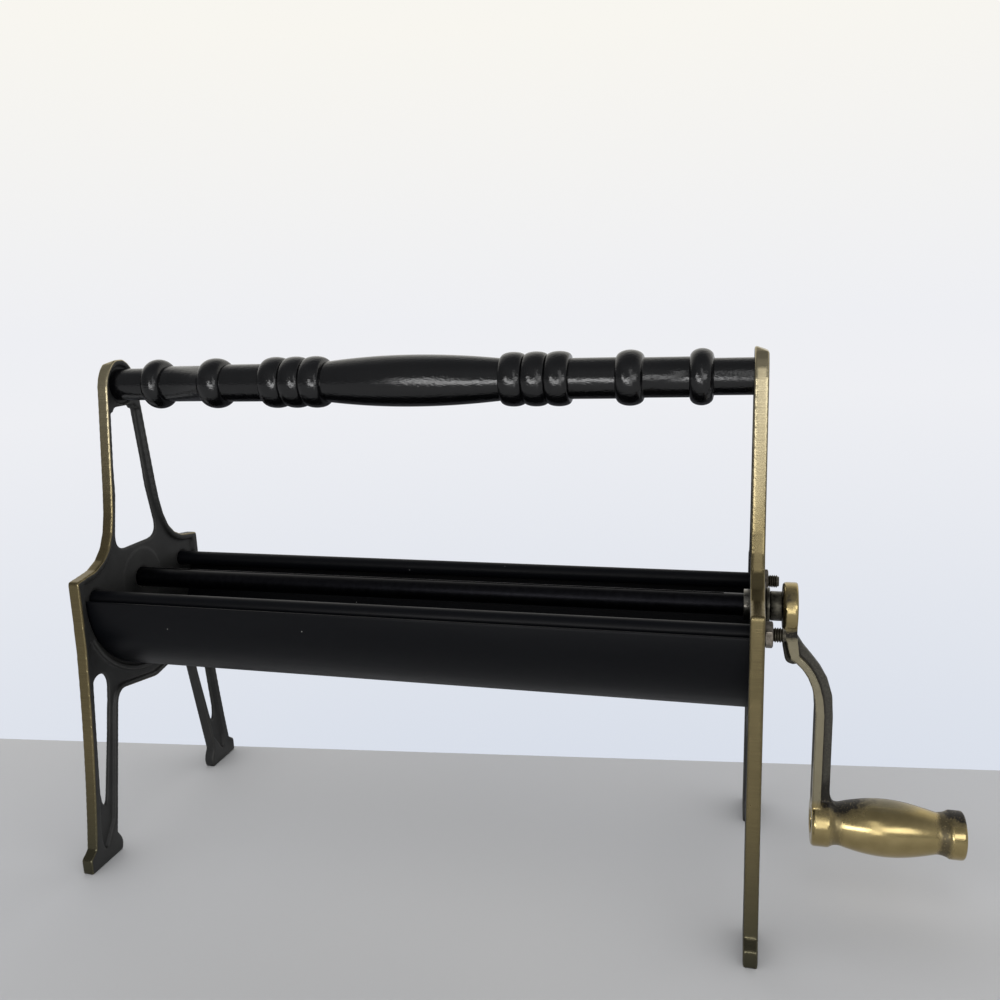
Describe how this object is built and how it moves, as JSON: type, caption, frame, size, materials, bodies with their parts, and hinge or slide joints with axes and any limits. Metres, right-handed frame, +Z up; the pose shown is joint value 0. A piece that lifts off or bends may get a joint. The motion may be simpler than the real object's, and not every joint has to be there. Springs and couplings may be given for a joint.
{
  "type": "hand-cranked paper log roller",
  "caption": "Hand-cranked paper log roller: cast end frames, half-round trough, slotted spindle that pulls out with its crank, tie rods and a turned carrying handle.",
  "frame": {"origin": "on the table, under the middle of the overall length, which runs from the left nuts to the end of the crank's grip, and midway between the front and rear feet", "axes": "+X along the spindle towards the crank, +Y from the front feet to the rear feet, +Z up"},
  "size_m": [0.5404, 0.1728, 0.3207],
  "materials": {
    "frame_casting": "satin, darkened in the recesses",
    "black_paint": "satin",
    "rod_nut": "dull",
    "lacquered_wood": "gloss black lacquer",
    "handle_insert": "machined",
    "screw": "dull",
    "spindle_steel": "dark oiled",
    "bush_steel": "machined",
    "crank_brass": "rubbed, cast in the hollows"
  },
  "bodies": {
    "base": {"end_frame_left": "frame_casting", "end_frame_right": "frame_casting", "trough": "black_paint", "tie_rod_front": "black_paint", "tie_rod_rear": "black_paint", "rod_nut_front_left": "rod_nut", "rod_nut_front_right": "rod_nut", "rod_nut_rear_left": "rod_nut", "rod_nut_rear_right": "rod_nut", "carry_handle": "lacquered_wood", "handle_insert_left": "handle_insert", "handle_insert_right": "handle_insert", "handle_screw_left": "screw", "handle_screw_right": "screw"},
    "drive_bush": {"spindle_bush": "bush_steel", "bush_ring": "bush_steel"},
    "crank_and_spindle": {"winding_spindle": "spindle_steel", "drive_sleeve": "spindle_steel", "crank": "crank_brass", "crank_screw": "screw"}
  },
  "joints": [
    {"name": "crank_turn", "type": "hinge", "parent": "base", "child": "drive_bush", "pos_m": [0, 0, 0.1725], "axis": [1, 0, 0], "continuous": true},
    {"name": "crank_pull", "type": "slide", "parent": "drive_bush", "child": "crank_and_spindle", "axis": [1, 0, 0], "range_m": [0, 0.39]}
  ]
}
